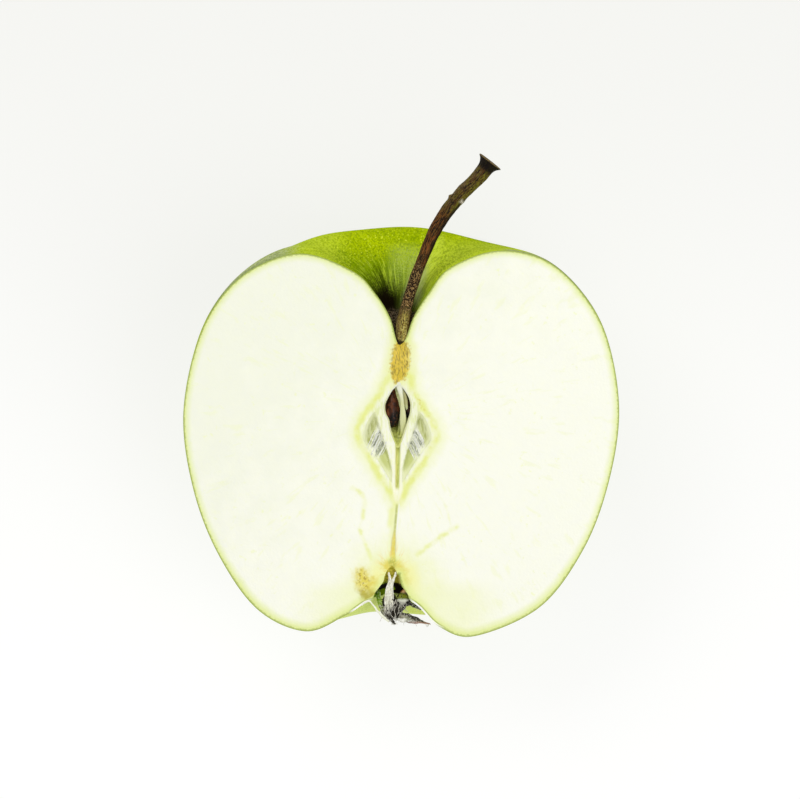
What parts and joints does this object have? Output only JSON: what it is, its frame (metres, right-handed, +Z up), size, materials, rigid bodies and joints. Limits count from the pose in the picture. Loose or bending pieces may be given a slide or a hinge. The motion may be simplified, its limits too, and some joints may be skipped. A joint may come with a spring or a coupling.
{
  "type": "apple half",
  "caption": "Half of a green dessert apple, cut lengthwise through stalk and core, lying on its round back with the cut face up.",
  "frame": {"origin": "middle of the small flat spot on the round back, where the half rests on the table", "axes": "+Z up, away from the table and out of the cut face; +Y along the fruit from the calyx end to the stalk end; +X to the right of someone who looks down on the cut face with the stalk at the top"},
  "size_m": [0.0799, 0.0886, 0.0491],
  "materials": {
    "flesh": "moist pale cut flesh under thin green skin, glossy on the skin",
    "chamber_wall": "thin shiny parchment",
    "seed": "smooth, satin brown",
    "stalk": "dry and rough, brown with green flecks",
    "pistil": "dry, fibrous, off-white",
    "sepal": "dried and downy, grey-green to black-brown"
  },
  "bodies": {
    "root": {"apple_half": "flesh", "seed_chamber": "chamber_wall", "carpel_left": "chamber_wall", "carpel_right": "chamber_wall", "seed_left": "seed", "seed_right": "seed", "stem": "stalk", "pistil_tuft": "pistil", "sepal_left": "sepal", "sepal_right": "sepal", "sepal_tip": "sepal"}
  },
  "joints": []
}
